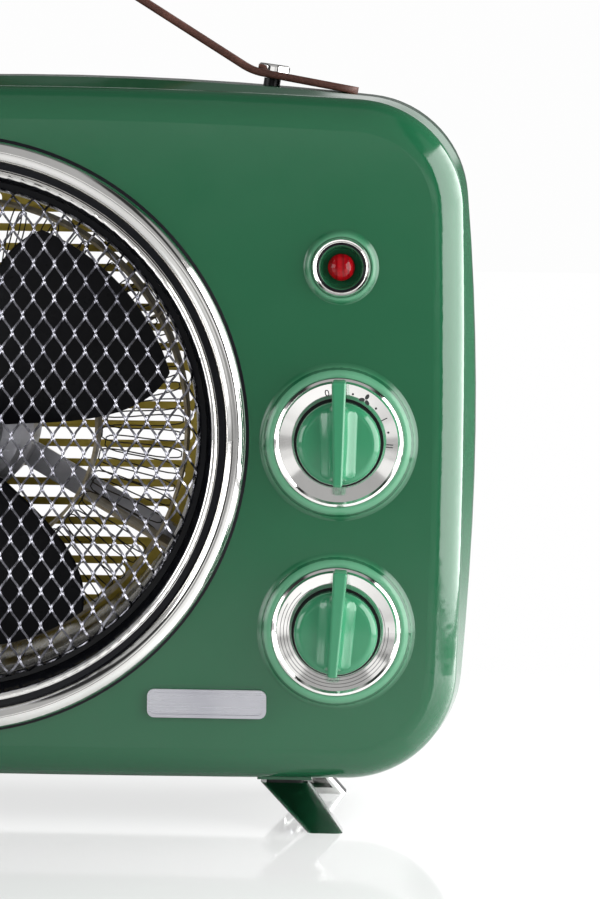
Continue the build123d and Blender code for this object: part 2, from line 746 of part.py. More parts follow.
# Pilot lamp: holder, plated bezel and domed lens
lamp_holder = turned(
    [
        (0, FACE - 24),
        (7.0, FACE - 24),
        (LAMP_HOLDER_RADIUS, FACE - 20),
        (LAMP_HOLDER_RADIUS, FACE + 2.2),
        (7.4, FACE + 2.2),
        (6.2, FACE - 2.0),
        (0, FACE - 2.0),
    ],
    CONTROL_X,
    LAMP_Z,
)
finish(lamp_holder, "lamp_holder")
lamp_bezel = turned(
    [
        (LAMP_HOLDER_RADIUS, FACE),
        (10.0, FACE),
        (10.0, FACE + 1.6),
        (9.3, FACE + 3.0),
        (LAMP_HOLDER_RADIUS, FACE + 2.6),
    ],
    CONTROL_X,
    LAMP_Z,
)
finish(lamp_bezel, "lamp_bezel")
with BuildPart() as lamp_lens:
    with BuildSketch(ahead_at(CONTROL_X, LAMP_Z, FACE - 2.0)):
        Circle(LENS_RADIUS)
    extrude(amount=5.4)
    ball_radius = LENS_RADIUS**2 / (2 * LENS_DOME) + LENS_DOME / 2
    with Locations(ahead_at(CONTROL_X, LAMP_Z, FACE + 3.4 - ball_radius)):
        Sphere(ball_radius, mode=Mode.INTERSECT)
finish(lamp_lens, "lamp_lens")

# Small bare plate under the grille
with BuildPart() as front_plate:
    with BuildSketch(ahead(FACE)):
        with Locations((PLATE_X, PLATE_Z)):
            RectangleRounded(40.0, 9.6, 2.4)
    extrude(amount=1.6)
    with BuildSketch(ahead(FACE + 1.6)):
        with Locations((PLATE_X, PLATE_Z)):
            RectangleRounded(37.6, 7.4, 1.6)
    extrude(amount=-0.5, mode=Mode.SUBTRACT)
finish(front_plate, "front_plate")

# Strap handle: flat leather strap that arches between its studs, with two free tails
with BuildPart() as strap_handle:
    with BuildSketch(ahead(STRAP_AHEAD - STRAP_WIDTH / 2)):
        with BuildLine() as strap_half:
            fall = STRAP_END_DROP / (STRAP_END_X - STUD_X)
            tail = Line(
                (STRAP_END_X, STRAP_STUD_Z - STRAP_END_DROP),
                (STUD_X - STRAP_FLAT, STRAP_STUD_Z + STRAP_FLAT * fall),
            )
            rise = JernArc(tail @ 1, tail % 1, STRAP_RISE_RADIUS, -STRAP_RISE_TURN)
            slope = JernArc(rise @ 1, rise % 1, STRAP_SLOPE_RADIUS, -STRAP_SLOPE_TURN)
            tail_turn = degrees(atan2(fall, 1))
            crown_turn = tail_turn + STRAP_RISE_TURN + STRAP_SLOPE_TURN
            crown_radius = (slope @ 1).X / sin(radians(crown_turn))
            JernArc(slope @ 1, slope % 1, crown_radius, crown_turn)
            mirror(strap_half.line, about=Plane.YZ)
        trace(line_width=STRAP_THICKNESS)
    extrude(amount=STRAP_WIDTH)
    for side in SIDES.values():
        with BuildSketch(stud_place(side, -STRAP_THICKNESS)):
            Circle(POST_RADIUS + 0.2)
        extrude(amount=2 * STRAP_THICKNESS, mode=Mode.SUBTRACT)
finish(strap_handle, "strap_handle")

# Dark posts with a collar under the strap, and the studs that are screwed to them
with BuildPart() as strap_posts:
    for side in SIDES.values():
        with BuildSketch(stud_place(side, -STRAP_THICKNESS / 2)):
            Circle(POST_COLLAR_RADIUS)
        extrude(amount=-4)
    add(back_form(0), mode=Mode.SUBTRACT)
    for side in SIDES.values():
        with BuildSketch(stud_place(side, STRAP_THICKNESS / 2)):
            Circle(POST_RADIUS)
        extrude(amount=-POST_DEPTH - STRAP_THICKNESS / 2)
finish(strap_posts, "strap_posts")
with BuildPart() as strap_studs:
    for side in SIDES.values():
        with BuildSketch(stud_place(side, STRAP_THICKNESS / 2)):
            Circle(STUD_RADIUS)
        extrude(amount=STUD_HEIGHT)
    fillet(strap_studs.edges().group_by(Axis.Z)[-1], 0.9)
finish(strap_studs, "strap_studs")


def foot_section(plane, span_x, span_ahead, inset, rounding):
    """Rounded rectangle of a foot at one level, seen from above."""
    with BuildSketch(plane) as outline:
        with Locations((sum(span_x) / 2, -sum(span_ahead) / 2)):
            RectangleRounded(
                span_x[1] - span_x[0] - 2 * inset, span_ahead[1] - span_ahead[0] - 2 * inset, rounding
            )
    return outline.sketch


def foot_hollow():
    """Space inside a foot, open on the side towards the middle."""
    hollow_sole = (FOOT_SOLE_AHEAD[0] - 4, FOOT_SOLE_AHEAD[1] - 2)
    hollow_top = (FOOT_TOP_AHEAD[0] - 4, FOOT_TOP_AHEAD[1] - 2)
    slope = (FOOT_TOP_X[0] - FOOT_SOLE_X[0]) / FOOT_TOP_Z
    floor_x = [x + FOOT_FLOOR * slope for x in FOOT_SOLE_X]
    roof_x = [x - FOOT_ROOF * slope for x in FOOT_TOP_X]
    with BuildPart() as hollow:
        add(foot_section(Plane.XY.offset(FOOT_FLOOR), floor_x, hollow_sole, 2.0, 1.0))
        add(foot_section(Plane.XY.offset(FOOT_TOP_Z - FOOT_ROOF), roof_x, hollow_top, 2.0, 1.0))
        loft()
    return hollow.part


def foot(node, side, front):
    """Plated foot that splays outward and forward, hollow on the side towards the middle."""
    with BuildPart() as shoe:
        add(foot_section(Plane.XY, FOOT_SOLE_X, FOOT_SOLE_AHEAD, 0, 2.5))
        add(foot_section(Plane.XY.offset(FOOT_TOP_Z), FOOT_TOP_X, FOOT_TOP_AHEAD, 0, 2.5))
        loft()
        add(foot_hollow(), mode=Mode.SUBTRACT)
        with BuildSketch(Plane.XY.offset(FOOT_TOP_Z)):
            with Locations((FOOT_SCREW_X, -FOOT_SCREW_AHEAD)):
                Circle(SCREW_RADIUS + 0.1)
        extrude(amount=-4, mode=Mode.SUBTRACT)
        with BuildSketch(Plane.XY.offset(FOOT_TOP_Z - FOOT_ROOF)):
            with Locations((FOOT_SCREW_X, -FOOT_SCREW_AHEAD)):
                Circle(FOOT_SCREW_HEAD_RADIUS + 0.3)
        extrude(amount=-5, mode=Mode.SUBTRACT)
    if side < 0:
        shoe.part = shoe.part.mirror(Plane.YZ)
    if not front:
        shoe.part = shoe.part.mirror(ahead(FEET_MIDDLE))
    finish(shoe, node)


for side_name, side in SIDES.items():
    foot(f"front_{side_name}_foot", side, front=True)
    foot(f"rear_{side_name}_foot", side, front=False)

FOOT_SCREWS = [
    (side * FOOT_SCREW_X, -distance)
    for side in SIDES.values()
    for distance in (FOOT_SCREW_AHEAD, 2 * FEET_MIDDLE - FOOT_SCREW_AHEAD)
]

# Dark washers between the feet and their sockets
with BuildPart() as foot_washers:
    with BuildSketch(Plane.XY.offset(FOOT_TOP_Z)):
        with Locations(*FOOT_SCREWS):
            RectangleRounded(12.0, 8.5, 2.0)
            Circle(SCREW_RADIUS + 0.1, mode=Mode.SUBTRACT)
    extrude(amount=SOCKET_BOTTOM_Z - FOOT_TOP_Z)
finish(foot_washers, "foot_washers")

# Foot screws, up through each foot into its socket
with BuildPart() as foot_screws:
    with BuildSketch(Plane.XY.offset(FOOT_TOP_Z - FOOT_ROOF - 1.4)):
        with Locations(*FOOT_SCREWS):
            Circle(FOOT_SCREW_HEAD_RADIUS)
    extrude(amount=1.4)
    with BuildSketch(Plane.XY.offset(FOOT_TOP_Z - FOOT_ROOF)):
        with Locations(*FOOT_SCREWS):
            Circle(SCREW_RADIUS)
    extrude(amount=SOCKET_BOTTOM_Z - FOOT_TOP_Z + FOOT_ROOF + 7.0)
finish(foot_screws, "foot_screws")

# Casing screws, from the back through the rear posts into the front posts
with BuildPart() as casing_screws:
    with BuildSketch(ahead(BACK + 2 * WALL)):
        with Locations(*CASING_SCREWS):
            Circle(3.2)
    extrude(amount=-2.4)
    with BuildSketch(ahead(BACK + 2 * WALL)):
        with Locations(*CASING_SCREWS):
            Circle(SCREW_RADIUS)
    extrude(amount=SEAM - BACK - 2 * WALL + 12)
finish(casing_screws, "casing_screws")

# Cord gland in the back, left empty
cord_gland = turned(
    [
        (3.6, BACK - 1.5),
        (8.0, BACK - 1.5),
        (8.0, BACK),
        (5.9, BACK),
        (5.9, BACK + 8.0),
        (3.6, BACK + 8.0),
    ],
    GLAND_X,
    GLAND_Z,
)
finish(cord_gland, "cord_gland")

# Terminal block under the thermostat, on the floor of the rear shell
with BuildPart() as terminal_block:
    terminal_x, terminal_length, terminal_width = TERMINAL_PLACE
    with BuildSketch(Plane.XY.offset(FLOOR_BLOCK_Z)):
        with Locations((terminal_x, FLOOR_BLOCK_Y)):
            Rectangle(terminal_length, terminal_width)
    extrude(amount=12)
    with BuildSketch(terminal_block.faces().sort_by(Axis.Z)[-1]):
        with GridLocations(10, 1, 3, 1):
            Circle(2.5)
    extrude(amount=-4, mode=Mode.SUBTRACT)
finish(terminal_block, "terminal_block")

# Tip-over switch on the floor of the rear shell
with BuildPart() as tip_switch:
    tip_x, tip_length, tip_width = TIP_PLACE
    with BuildSketch(Plane.XY.offset(FLOOR_BLOCK_Z)):
        with Locations((tip_x, FLOOR_BLOCK_Y)):
            Rectangle(tip_length, tip_width)
    extrude(amount=20)
finish(tip_switch, "tip_switch")
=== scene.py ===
import json
import math

import bpy
from mathutils import Matrix, Vector


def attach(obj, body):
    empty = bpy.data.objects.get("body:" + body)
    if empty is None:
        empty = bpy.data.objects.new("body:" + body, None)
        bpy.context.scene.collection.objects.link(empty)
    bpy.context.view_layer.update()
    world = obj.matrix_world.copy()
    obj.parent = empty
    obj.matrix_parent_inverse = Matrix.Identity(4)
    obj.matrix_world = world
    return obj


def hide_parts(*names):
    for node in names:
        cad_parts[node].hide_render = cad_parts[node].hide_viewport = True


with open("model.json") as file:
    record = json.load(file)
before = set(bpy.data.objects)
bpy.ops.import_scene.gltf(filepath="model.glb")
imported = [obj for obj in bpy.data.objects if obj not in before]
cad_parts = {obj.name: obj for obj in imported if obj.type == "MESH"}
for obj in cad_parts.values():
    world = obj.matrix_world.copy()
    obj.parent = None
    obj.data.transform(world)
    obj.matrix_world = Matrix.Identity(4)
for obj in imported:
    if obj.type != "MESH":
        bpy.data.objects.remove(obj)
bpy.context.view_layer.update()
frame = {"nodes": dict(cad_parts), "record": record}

MM = 0.001

# Places and sizes that the CAD gives, in millimetres; "ahead" is the distance toward the viewer, along -Y
FACE = 47.5
RING_X, RING_Z = -26.3, 132.7
CONTROL_X, LAMP_Z, SELECTOR_Z, THERMOSTAT_Z = 104.6, 191.0, 132.5, 68.9
THERMOSTAT_TURN = 3.6
PLATE_X, PLATE_Z, PLATE_TOP = 61.5, 43.7, 1.1
STUD_X, STUD_Z = 79.0, 254.7
STRAP_Y, STRAP_WIDTH, STRAP_THICKNESS = 21.5, 22.0, 2.6


def grey(level):
    return (level, level, level, 1.0)


def srgb(red, green, blue):
    """Linear colour from the three numbers of a screen colour."""
    linear = []
    for value in (red, green, blue):
        share = value / 255
        linear.append(share / 12.92 if share <= 0.04045 else ((share + 0.055) / 1.055) ** 2.4)
    return (*linear, 1.0)


# Materials
class Nodes:
    """Short calls that add nodes to a node tree."""

    MIX_FACTOR, MIX_FIRST, MIX_SECOND, MIX_RESULT = 0, 6, 7, 2

    def __init__(self, tree):
        self.tree = tree

    def node(self, kind, inputs=None, **settings):
        """A node with its settings made and its inputs linked to an output or set to a value."""
        made = self.tree.nodes.new(kind)
        for key, value in settings.items():
            setattr(made, key, value)
        for socket, source in (inputs or {}).items():
            if hasattr(source, "is_output"):
                self.tree.links.new(source, made.inputs[socket])
            else:
                made.inputs[socket].default_value = source
        return made

    def ramp(self, source, stops, interpolation="LINEAR"):
        """Colours, or grey levels given as single numbers, at places between 0 and 1."""
        made = self.node("ShaderNodeValToRGB", {"Fac": source})
        made.color_ramp.interpolation = interpolation
        elements = made.color_ramp.elements
        while len(elements) < len(stops):
            elements.new(0.5)
        for element, (position, colour) in zip(elements, stops):
            element.position = position
            element.color = colour if hasattr(colour, "__len__") else grey(colour)
        return made.outputs["Color"]

    def blend(self, factor, first, second, mode="MIX"):
        inputs = {self.MIX_FACTOR: factor, self.MIX_FIRST: first, self.MIX_SECOND: second}
        made = self.node("ShaderNodeMix", inputs, data_type="RGBA", blend_type=mode)
        return made.outputs[self.MIX_RESULT]

    def math(self, operation, *operands):
        return self.node("ShaderNodeMath", dict(enumerate(operands)), operation=operation).outputs[0]

    def axes(self, vector):
        return self.node("ShaderNodeSeparateXYZ", {0: vector}).outputs


class Paint(Nodes):
    """A material under construction, with short calls for its texture and its surface."""

    def __init__(self, name, **sockets):
        self.material = bpy.data.materials.new(name)
        self.material.use_nodes = True
        super().__init__(self.material.node_tree)
        self.shader = self.tree.nodes["Principled BSDF"]
        self.coords = self.node("ShaderNodeTexCoord").outputs["Object"]
        for socket, value in sockets.items():
            self.shader.inputs[socket.replace("_", " ")].default_value = value

    def stretch(self, scale):
        """Coordinates scaled by a different amount each way."""
        return self.node("ShaderNodeMapping", {"Vector": self.coords, "Scale": scale}).outputs["Vector"]

    def noise(self, scale, detail=3.0, rough=0.55, vector=None):
        inputs = {"Vector": vector or self.coords, "Scale": scale, "Detail": detail, "Roughness": rough}
        return self.node("ShaderNodeTexNoise", inputs).outputs["Fac"]

    def streaks(self, scale, detail, rough):
        """Noise drawn out by a different amount each way."""
        return self.noise(1.0, detail, rough, self.stretch(scale))

    def link(self, source, socket):
        self.tree.links.new(source, self.shader.inputs[socket])

    def bump(self, height, distance, strength=1.0):
        """A bump on top of those made before."""
        made = self.node("ShaderNodeBump", {"Height": height, "Distance": distance, "Strength": strength})
        normal = self.shader.inputs["Normal"]
        if normal.is_linked:
            self.tree.links.new(normal.links[0].from_socket, made.inputs["Normal"])
        self.link(made.outputs["Normal"], "Normal")

    def orange_peel(self):
        """The fine waviness of sprayed lacquer."""
        self.bump(self.noise(420.0, detail=2.0), 0.00002, 0.35)

    def surface(self, source):
        """Show another shader in place of the material's own."""
        self.tree.links.new(source, self.tree.nodes["Material Output"].inputs["Surface"])


CASING_BASE, CASING_DEEP = (0.0105, 0.083, 0.036, 1), (0.0090, 0.074, 0.032, 1)


def lacquer(name, base, deep, roughness=0.1, shine=0.5):
    """Glossy painted plastic: fine orange peel and faint cloudiness."""
    paint = Paint(name, Specular_IOR_Level=shine)
    cloud = paint.ramp(paint.noise(9.0, detail=2.0), [(0.35, 0.0), (0.7, 1.0)])
    paint.link(paint.blend(cloud, deep, base), "Base Color")
    haze = paint.ramp(paint.noise(60.0, detail=4.0), [(0.3, roughness * 0.7), (0.75, roughness * 1.4)])
    paint.link(haze, "Roughness")
    paint.orange_peel()
    return paint.material


def plated(name, colour, roughness=0.07, bow=0.0):
    """Bright plating: faint haze, fine scratches, slight waviness and an even bow up the front pieces."""
    front_limit = -0.03
    paint = Paint(name, Metallic=1.0)
    haze = paint.ramp(paint.noise(35.0, detail=5.0), [(0.35, 0.86), (0.7, 1.0)])
    paint.link(paint.blend(1.0, haze, colour, "MULTIPLY"), "Base Color")
    scratches = paint.streaks((140.0, 140.0, 140.0), detail=6.0, rough=0.7)
    paint.link(paint.ramp(scratches, [(0.3, roughness * 0.6), (0.75, roughness * 1.7)]), "Roughness")
    paint.bump(paint.noise(45.0, detail=1.0), 0.00006, 0.25)
    if bow:
        place = paint.axes(paint.coords)
        front = paint.math("LESS_THAN", place["Y"], front_limit)
        paint.bump(paint.math("MULTIPLY", paint.math("MULTIPLY", place["Z"], -bow), front), 1.0)
    return paint.material


def swelling_painted_highlight(name):
    """The casing's lacquer on the soft swellings with a painted highlight: paler toward their tops,
    standing for the light on their soft curve.
    """
    highlight_height = 2.6
    foot, top = -FACE * MM, -(FACE + highlight_height) * MM
    paint = Paint(name, Specular_IOR_Level=0.5)
    ahead = paint.axes(paint.coords)["Y"]
    rise = paint.node("ShaderNodeMapRange", {"Value": ahead, "From Min": foot, "From Max": top})
    cloud = paint.math("MULTIPLY", paint.noise(120.0), 0.12)
    level = paint.math("SUBTRACT", rise.outputs["Result"], cloud)
    # painted highlight: the green turns paler toward each swelling's top
    stops = [(0.0, CASING_BASE), (0.35, (0.032, 0.145, 0.072, 1)), (1.0, (0.085, 0.262, 0.150, 1))]
    paint.link(paint.ramp(level, stops), "Base Color")
    paint.link(paint.ramp(paint.noise(60.0, detail=4.0), [(0.3, 0.16), (0.75, 0.26)]), "Roughness")
    paint.orange_peel()
    return paint.material


def moulded(name, colour, roughness, grain=900.0, depth=0.00004, shine=0.5):
    """Moulded plastic or rubber with a fine spark-eroded grain."""
    paint = Paint(name, Specular_IOR_Level=shine)
    cloud = paint.ramp(paint.noise(40.0), [(0.3, 0.75), (0.7, 1.15)])
    paint.link(paint.blend(1.0, cloud, colour, "MULTIPLY"), "Base Color")
    wear = paint.ramp(paint.noise(130.0, detail=4.0), [(0.3, roughness - 0.06), (0.7, roughness + 0.08)])
    paint.link(wear, "Roughness")
    paint.bump(paint.noise(grain), depth, 0.5)
    return paint.material


def sheet_metal(name, bright, dull, roughness, brush=(60.0, 60.0, 900.0)):
    """Rolled or brushed sheet with fine lines one way and dull patches."""
    paint = Paint(name, Metallic=1.0)
    lines = paint.streaks(brush, detail=4.0, rough=0.6)
    patches = paint.ramp(paint.noise(30.0, detail=4.0), [(0.35, 0.0), (0.7, 1.0)])
    paint.link(paint.blend(patches, bright, dull), "Base Color")
    paint.link(paint.ramp(lines, [(0.25, roughness * 0.7), (0.8, roughness * 1.5)]), "Roughness")
    paint.bump(lines, 0.00004, 0.4)
    return paint.material


def leather(name):
    """Dark brown leather: pebbled grain, creases, worn high spots."""
    paint = Paint(name, Specular_IOR_Level=0.25)
    cells = paint.node("ShaderNodeTexVoronoi", {"Vector": paint.coords, "Scale": 900.0}, feature="F1")
    distance = cells.outputs["Distance"]
    browns = [(0.3, srgb(58, 34, 28)), (0.75, srgb(100, 64, 54))]
    patches = paint.ramp(paint.noise(55.0, detail=5.0), browns)
    pits = paint.ramp(distance, [(0.2, 0.35), (0.8, 0.0)])
    paint.link(paint.blend(pits, patches, srgb(36, 20, 16)), "Base Color")
    paint.link(paint.ramp(paint.noise(160.0), [(0.3, 0.48), (0.7, 0.68)]), "Roughness")
    paint.bump(distance, 0.00012, 0.5)
    paint.bump(paint.streaks((60.0, 300.0, 300.0), detail=3.0, rough=0.5), 0.0002, 0.35)
    return paint.material


def lens_red(name):
    """Clear red lens with a faint glow and small facets inside."""
    paint = Paint(name, Roughness=0.05, Specular_IOR_Level=0.22, Emission_Strength=0.1)
    ribs = paint.streaks((900.0, 60.0, 60.0), detail=2.0, rough=0.5)
    colour = paint.ramp(ribs, [(0.35, srgb(140, 6, 15)), (0.7, srgb(92, 2, 8))])
    paint.link(colour, "Base Color")
    paint.link(colour, "Emission Color")
    paint.bump(ribs, 0.00005, 0.2)
    return paint.material


def mica_board(name):
    """Pale mica board with flaky layers."""
    paint = Paint(name)
    flakes = paint.streaks((120.0, 600.0, 120.0), detail=6.0, rough=0.7)
    paint.link(paint.ramp(flakes, [(0.3, srgb(118, 104, 82)), (0.7, srgb(190, 178, 150))]), "Base Color")
    paint.link(paint.ramp(flakes, [(0.3, 0.5), (0.7, 0.32)]), "Roughness")
    paint.bump(flakes, 0.0001, 0.4)
    return paint.material


def heated_wire(name):
    """Resistance wire, blue-black with straw-coloured patches where it gets hottest."""
    paint = Paint(name, Metallic=0.85)
    patches = paint.noise(90.0, detail=4.0)
    paint.link(paint.ramp(patches, [(0.35, srgb(30, 30, 34)), (0.8, srgb(92, 84, 70))]), "Base Color")
    paint.link(paint.ramp(patches, [(0.3, 0.32), (0.7, 0.55)]), "Roughness")
    paint.bump(paint.noise(1500.0, detail=2.0), 0.00003, 0.5)
    return paint.material


MATERIALS = {
    "green_casing": lacquer("green_casing", CASING_BASE, CASING_DEEP),
    # The knobs' lacquer is a paler copy of the casing green: painted light, standing for the light the
    # knobs catch
    "green_knob": lacquer("green_knob", (0.030, 0.185, 0.090, 1), (0.026, 0.172, 0.082, 1)),
    "swelling_painted_highlight": swelling_painted_highlight("swelling_painted_highlight"),
    "chrome_trim": plated("chrome_trim", (0.86, 0.85, 0.83, 1)),
    "chrome_feet": plated("chrome_feet", (0.84, 0.84, 0.83, 1), 0.09, bow=0.9),
    "black_collar": lacquer(
        "black_collar", (0.007, 0.008, 0.010, 1), (0.004, 0.004, 0.006, 1), 0.14, shine=0.18
    ),
    "steel_mesh": sheet_metal(
        "steel_mesh", srgb(160, 160, 168), srgb(96, 96, 104), 0.24, brush=(700.0, 700.0, 200.0)
    ),
    "plated_duct": sheet_metal(
        "plated_duct", srgb(196, 194, 190), srgb(150, 148, 142), 0.24, brush=(300.0, 40.0, 300.0)
    ),
    "gold_grille": sheet_metal(
        "gold_grille", srgb(208, 186, 92), srgb(170, 148, 62), 0.34, brush=(40.0, 200.0, 700.0)
    ),
    "motor_steel": sheet_metal("motor_steel", srgb(196, 196, 202), srgb(156, 156, 162), 0.35),
    "zinc_screws": sheet_metal("zinc_screws", srgb(190, 192, 196), srgb(150, 152, 158), 0.3),
    "mica": mica_board("mica"),
    "element_alloy": heated_wire("element_alloy"),
    "ceramic_black": moulded("ceramic_black", (0.030, 0.029, 0.028, 1), 0.55),
    "black_plastic": moulded("black_plastic", (0.006, 0.006, 0.007, 1), 0.35, shine=0.15),
    "black_rubber": moulded("black_rubber", (0.018, 0.018, 0.018, 1), 0.7, grain=1400.0),
    "red_lens": lens_red("red_lens"),
    "satin_plate": sheet_metal(
        "satin_plate", srgb(206, 206, 212), srgb(188, 188, 196), 0.3, brush=(20.0, 600.0, 4200.0)
    ),
    "brown_leather": leather("brown_leather"),
    # Fan blades: near-black plastic, darker still to stand for the shade they sit in behind the grille:
    # partly their own colour, partly painted shade
    "fan_plastic": moulded(
        "fan_plastic", (0.003, 0.003, 0.004, 1), 0.3, grain=700.0, depth=0.00002, shine=0.07
    ),
    "dial_print": moulded("dial_print", (0.045, 0.045, 0.048, 1), 0.45, shine=0.2),
}

for subpart in frame["record"]["subparts"]:
    node = frame["nodes"][subpart["node"]]
    node.data.materials.clear()
    node.data.materials.append(MATERIALS[subpart["material_slot"]])


# Meshes
def piece(name, mesh, slot, body="casing", paint=None, smooth=True, replaces=()):
    """Put a finished mesh in the scene as a piece that rides on a body."""
    made = bpy.data.objects.new(name, mesh)
    bpy.context.scene.collection.objects.link(made)
    made.data.materials.append(MATERIALS[paint or slot])
    if smooth:
        for face in mesh.polygons:
            face.use_smooth = True
    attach(made, body)
    if replaces:
        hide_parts(*replaces)
    return made


def mesh_of(name, verts, faces):
    mesh = bpy.data.meshes.new(name)
    mesh.from_pydata([tuple(v) for v in verts], [], faces)
    mesh.update()
    return mesh


def ring_faces(count, size, closed_line=False, start=0):
    """Quads between rings of vertices that follow each other; the ends of an open line are capped."""
    faces = []
    last = count if closed_line else count - 1
    for ring in range(last):
        after = (ring + 1) % count
        for side in range(size):
            beside = (side + 1) % size
            corners = ((ring, side), (ring, beside), (after, beside), (after, side))
            faces.append(tuple(start + of_ring * size + of_side for of_ring, of_side in corners))
    if not closed_line:
        faces.append(tuple(start + side for side in reversed(range(size))))
        faces.append(tuple(start + (count - 1) * size + side for side in range(size)))
    return faces


def tube(name, points, radius, slot, sides=6, closed=False, paint=None, replaces=()):
    """Round wire along points given in metres."""
    nearly_parallel = 0.05
    verts = []
    count = len(points)
    for index, point in enumerate(points):
        before = points[(index - 1) % count] if closed or index else point
        after = points[(index + 1) % count] if closed or index < count - 1 else point
        along = (after - before).normalized()
        across = along.cross(Vector((0, 1, 0)))
        if across.length < nearly_parallel:
            across = along.cross(Vector((0, 0, 1)))
        across.normalize()
        up = across.cross(along).normalized()
        for side in range(sides):
            turn = 2 * math.pi * side / sides
            verts.append(point + across * (radius * math.cos(turn)) + up * (radius * math.sin(turn)))
    mesh = mesh_of(name, verts, ring_faces(count, sides, closed))
    return piece(name, mesh, slot, paint=paint, replaces=replaces)


def hoop(name, section, slot, x=RING_X, z=RING_Z, count=144, paint=None, smooth=False):
    """Ring turned about a front-to-back axis from its closed section of (radius, ahead) points."""
    verts = []
    for index in range(count):
        turn = 2 * math.pi * index / count
        for radius, ahead in section:
            place = ((x + radius * math.cos(turn)) * MM, -ahead * MM, (z + radius * math.sin(turn)) * MM)
            verts.append(place)
    mesh = mesh_of(name, verts, ring_faces(count, len(section), closed_line=True))
    return piece(name, mesh, slot, paint=paint, smooth=smooth)


def on_face(section):
    """A section whose depths are given from the casing's face."""
    return [(radius, FACE + ahead) for radius, ahead in section]


# Expanded metal grille: twisted strands in diamonds, its edge bent back against the collar
MESH_PITCH_X, MESH_PITCH_Z = 7.0, 11.6
MESH_MIDDLE = FACE - 1.15
STRAND_HALF_WIDTH, STRAND_HALF_THICKNESS = 0.36, 0.20
STRAND_STEPS, STRAND_STRAIGHT, STRAND_CURVED = 8, 0.35, 0.65
STRAND_TILT, KNOT_TILT, KNOT_WIDENING = 18, 22, 0.25
EDGE_START, EDGE_BEND, EDGE_RETURN = 79.6, 4.4, 5.0
EDGE_REACH = EDGE_START + EDGE_BEND * math.pi / 2 + EDGE_RETURN


def on_grille(x, z, height):
    """Place of a point of the flat pattern once the grille's edge is bent back."""
    reach = math.hypot(x, z)
    bend = min(max((reach - EDGE_START) / EDGE_BEND, 0.0), math.pi / 2)
    straight = max(0.0, reach - EDGE_START - EDGE_BEND * math.pi / 2)
    radius = min(reach, EDGE_START) + EDGE_BEND * math.sin(bend) + height * math.sin(bend)
    ahead = MESH_MIDDLE - EDGE_BEND * (1 - math.cos(bend)) - straight + height * math.cos(bend)
    share = radius / max(reach, 1e-6)
    return Vector(((RING_X + x * share) * MM, -ahead * MM, (RING_Z + z * share) * MM))


def strand_ring(x, z, way, share):
    """The four corners of a strand at one point of its way from knot to knot."""
    knot = (1 - math.sin(math.pi * share)) ** 2
    tilt = way * math.radians(STRAND_TILT + KNOT_TILT * knot)
    slope = way * math.atan2(MESH_PITCH_X, MESH_PITCH_Z) * (1 - knot)
    across = Vector((math.cos(slope), 0, -math.sin(slope)))
    half = STRAND_HALF_WIDTH * (1 + KNOT_WIDENING * knot)
    ring = []
    for wide, thick in ((-1, -1), (1, -1), (1, 1), (-1, 1)):
        offset = wide * half * math.cos(tilt) - thick * STRAND_HALF_THICKNESS * math.sin(tilt)
        height = wide * half * math.sin(tilt) + thick * STRAND_HALF_THICKNESS * math.cos(tilt)
        ring.append(on_grille(x + across.x * offset, z + across.z * offset, height))
    return ring


def expanded_grille():
    verts, faces = [], []
    columns = int(EDGE_REACH / MESH_PITCH_X * 2) + 2
    rows = int(EDGE_REACH / MESH_PITCH_Z * 2) + 2
    for column in range(-columns, columns + 1):
        for row in range(-rows, rows + 1):
            if (column + row) % 2:
                continue
            start_x, start_z = column * MESH_PITCH_X / 2, row * MESH_PITCH_Z / 2
            for way in (-1, 1):
                rings = []
                for step in range(STRAND_STEPS + 1):
                    share = step / STRAND_STEPS
                    ease = share * share * (3 - 2 * share)
                    aside = STRAND_STRAIGHT * share + STRAND_CURVED * ease
                    x = start_x + way * MESH_PITCH_X / 2 * aside
                    z = start_z + MESH_PITCH_Z / 2 * share
                    if math.hypot(x, z) <= EDGE_REACH:
                        rings.append(strand_ring(x, z, way, share))
                if len(rings) > 1:
                    faces.extend(ring_faces(len(rings), 4, start=len(verts)))
                    for ring in rings:
                        verts.extend(ring)
    return mesh_of("grille_mesh", verts, faces)


piece("grille_mesh", expanded_grille(), "steel_mesh", smooth=False, replaces=("mesh_grille",))

# Dark rings: the hoop that holds the grille's edge, and two hoops of painted shade: the black line round
# the big ring, where its shadow gap is, and the black band in its groove, where the groove's shade falls
GRILLE_HOOP = [(83.6, 36.4), (86.2, 36.4), (85.9, 34.4), (83.6, 34.4)]
RING_SHADOW_LINE = [(99.4, -0.2), (100.9, -0.2), (100.9, 0.15), (99.4, 0.3)]
RING_GROOVE_SHADE = [(90.75, 0.5), (92.75, 0.5), (92.75, 0.8), (90.75, 0.8)]
hoop("grille_hoop", GRILLE_HOOP, "black_collar")
hoop("ring_shadow_line", on_face(RING_SHADOW_LINE), "black_collar")
hoop("ring_groove_shade", on_face(RING_GROOVE_SHADE), "black_collar")

# Soft swellings of the casing: the radius of the rim, the rise and the radius where they meet the flat face
DIAL_SWELLING = (21.6, 2.7, 26.6)
LAMP_SWELLING = (10.1, 1.7, 12.6)
SWELLING_SLOPE = ((0.1, 1.0), (0.25, 0.97), (0.42, 0.82), (0.6, 0.54), (0.77, 0.25), (0.9, 0.07))
SWELLING_SLOPE += ((0.99, 0.0),)
SWELLING_RIM, SWELLING_ROOT, SWELLING_LIFT, SWELLING_TOE = 0.9, -0.3, 0.01, (0.1, -0.06)


def swelling(name, z, inner, rise, reach):
    section = [(inner, SWELLING_ROOT), (inner, rise * SWELLING_RIM)]
    for share, height in SWELLING_SLOPE:
        section.append((inner + (reach - inner) * share, rise * height + SWELLING_LIFT))
    section.append((reach + SWELLING_TOE[0], SWELLING_TOE[1]))
    section.append((reach, SWELLING_ROOT))
    # the swellings carry the painted highlight, paler toward their tops
    hoop(name, on_face(section), "green_casing", CONTROL_X, z, paint="swelling_painted_highlight", smooth=True)


swelling("selector_swelling", SELECTOR_Z, *DIAL_SWELLING)
swelling("thermostat_swelling", THERMOSTAT_Z, *DIAL_SWELLING)
swelling("lamp_swelling", LAMP_Z, *LAMP_SWELLING)
